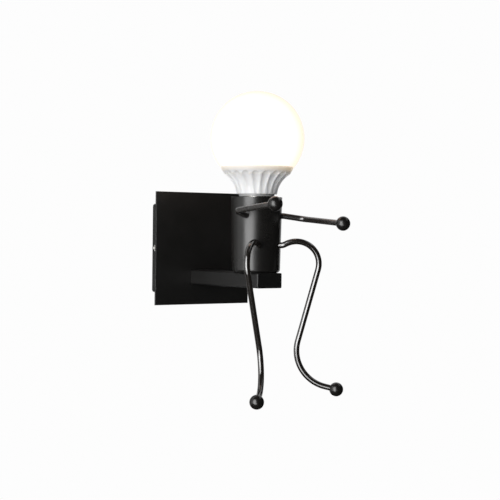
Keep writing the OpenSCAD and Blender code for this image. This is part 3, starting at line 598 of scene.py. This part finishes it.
def floor_material():
    material, tree, shader = look("pale_floor", Roughness=1.0, Specular_IOR_Level=0.0)
    tones = mottle(tree, noise(tree, scale=3.0), (0.86, 0.86, 0.86), (0.88, 0.88, 0.88))
    feed(shader, "Base Color", tones)
    paper = put(tree, "ShaderNodeEmission")
    paper.inputs["Color"].default_value = PAPER_WHITE
    far = put(tree, "ShaderNodeVectorMath", operation="LENGTH")
    tree.links.new(place(tree), far.inputs[0])
    share = span(tree, far.outputs["Value"], PAPER_NEAR, PAPER_FAR, SHADOW_IN, SHADOW_OUT, smooth=True)
    mix = put(tree, "ShaderNodeMixShader")
    tree.links.new(combine(tree, "MULTIPLY", share, seen_by_eye(tree)), mix.inputs[0])
    tree.links.new(shader.outputs[0], mix.inputs[1])
    tree.links.new(paper.outputs[0], mix.inputs[2])
    tree.links.new(mix.outputs[0], tree.nodes["Material Output"].inputs["Surface"])
    return material


def card_material(name, grey):
    material, tree, shader = look(name, Roughness=0.9, Specular_IOR_Level=0.0)
    feed(shader, "Base Color", mottle(tree, noise(tree, scale=8.0), (grey * 0.9,) * 3, (grey * 1.1,) * 3))
    return material


def flag(name, material, first, last):
    made = sheet(name, 1.0, material, cuts=FLAG_CUTS)
    for vertex in made.data.vertices:
        turn = math.radians(first + (last - first) * (vertex.co.x + 0.5))
        vertex.co = Vector((math.sin(turn) * FLAG_R, CUP_Y - math.cos(turn) * FLAG_R,
                            FLAG_LOW + (FLAG_HIGH - FLAG_LOW) * (vertex.co.y + 0.5)))
    return made


def lamp(name, azimuth, elevation, distance, width, height, watts):
    data = bpy.data.lights.new(name, "AREA")
    data.shape = "RECTANGLE"
    data.size = width
    data.size_y = height
    data.energy = watts
    made = bpy.data.objects.new(name, data)
    bpy.context.scene.collection.objects.link(made)
    aim(made, around(azimuth, elevation, distance), TARGET)
    return made


sheet("floor", FLOOR_SIZE, floor_material(), (0.0, CUP_Y, FLOOR_Z))

# Cards that only reflections see give the black surfaces their dark sides
DARK = card_material("dark_card", 0.012)
GREY = card_material("grey_card", 0.5)
cards = [
    flag("dark_flag", DARK, -36.0, 108.0),
    flag("grey_flag", GREY, -180.0, -133.0),
    sheet("dark_mat", MAT_SIZE, DARK, (0.0, CUP_Y, FLAG_LOW)),
    sheet("dark_roof", ROOF_SIZE, DARK, ROOF_AT),
]
for card in cards:
    card.visible_camera = False
    card.visible_diffuse = False
    card.visible_shadow = False

lamp("key_softbox", azimuth=-70.0, elevation=2.0, distance=1.6, width=1.25, height=1.0, watts=25.0)

# Two panels that only reflections see carry the streaks round the bends of the legs
panels = [
    lamp("upper_panel", azimuth=-70.0, elevation=29.0, distance=1.4, width=0.9, height=0.5, watts=8.0),
    lamp("lower_panel", azimuth=-58.0, elevation=-24.0, distance=1.4, width=1.0, height=0.6, watts=9.5),
]
for panel in panels:
    panel.visible_diffuse = False

world = bpy.data.worlds.new("studio")
bpy.context.scene.world = world
world.use_nodes = True
tree = world.node_tree
tree.nodes.clear()
bright = put(tree, "ShaderNodeBackground")
bright.inputs["Color"].default_value = PAPER_WHITE
soft = put(tree, "ShaderNodeBackground")
soft.inputs["Color"].default_value = SKY_TINT
soft.inputs["Strength"].default_value = SKY_LEVEL
mix = put(tree, "ShaderNodeMixShader")
tree.links.new(seen_by_eye(tree), mix.inputs[0])
tree.links.new(soft.outputs[0], mix.inputs[1])
tree.links.new(bright.outputs[0], mix.inputs[2])
tree.links.new(mix.outputs[0], put(tree, "ShaderNodeOutputWorld").inputs["Surface"])

# The photograph's view, with the cup's axis right of the middle
CAMERA_AZIMUTH = -36.41
CAMERA_ELEVATION = 0.76
CAMERA_DISTANCE = 1.1593
CAMERA_ROLL = math.radians(0.67)
CAMERA_SIDESTEP = 5.19 * MM
camera = bpy.data.objects.new("camera", bpy.data.cameras.new("camera"))
bpy.context.scene.collection.objects.link(camera)
camera.data.sensor_width = 36.0
camera.data.lens = 98.17
camera.data.clip_start = 0.05
camera.data.clip_end = 60.0
facing = math.radians(CAMERA_AZIMUTH)
sideways = Vector((math.cos(facing), math.sin(facing), 0.0))
spot = around(CAMERA_AZIMUTH, CAMERA_ELEVATION, CAMERA_DISTANCE)
aim(camera, spot, TARGET - sideways * CAMERA_SIDESTEP, CAMERA_ROLL)
bpy.context.scene.camera = camera
bpy.context.scene.view_settings.view_transform = "Standard"

bpy.context.view_layer.update()
